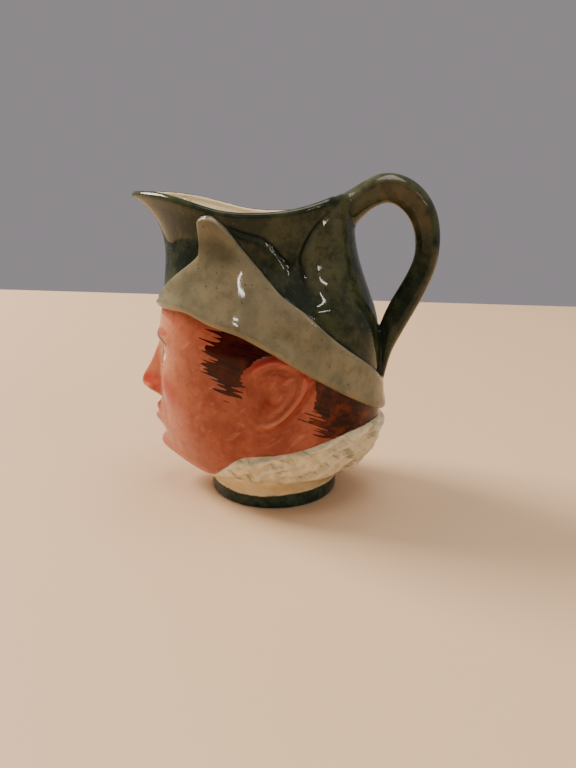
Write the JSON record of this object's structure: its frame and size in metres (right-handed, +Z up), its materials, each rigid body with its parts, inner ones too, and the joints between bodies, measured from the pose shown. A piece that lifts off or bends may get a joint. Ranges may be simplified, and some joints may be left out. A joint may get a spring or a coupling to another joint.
{
  "type": "toby jug",
  "caption": "Small hollow earthenware jug shaped as a head in a brimmed hat, with a pulled pouring spout in front and a loop strap handle behind.",
  "frame": {"origin": "on the plane that the foot stands on, under the middle of the jug's bounding box", "axes": "+Z up; -X is the way the face and the spout look, +X is the handle's side, and the jug is symmetric about the plane Y = 0"},
  "size_m": [0.0978, 0.0646, 0.104],
  "materials": {
    "glazed_earthenware": "high gloss clear glaze over dark green, olive, flesh and cream underglaze colours"
  },
  "bodies": {
    "root": {"jug": "glazed_earthenware"}
  },
  "joints": []
}
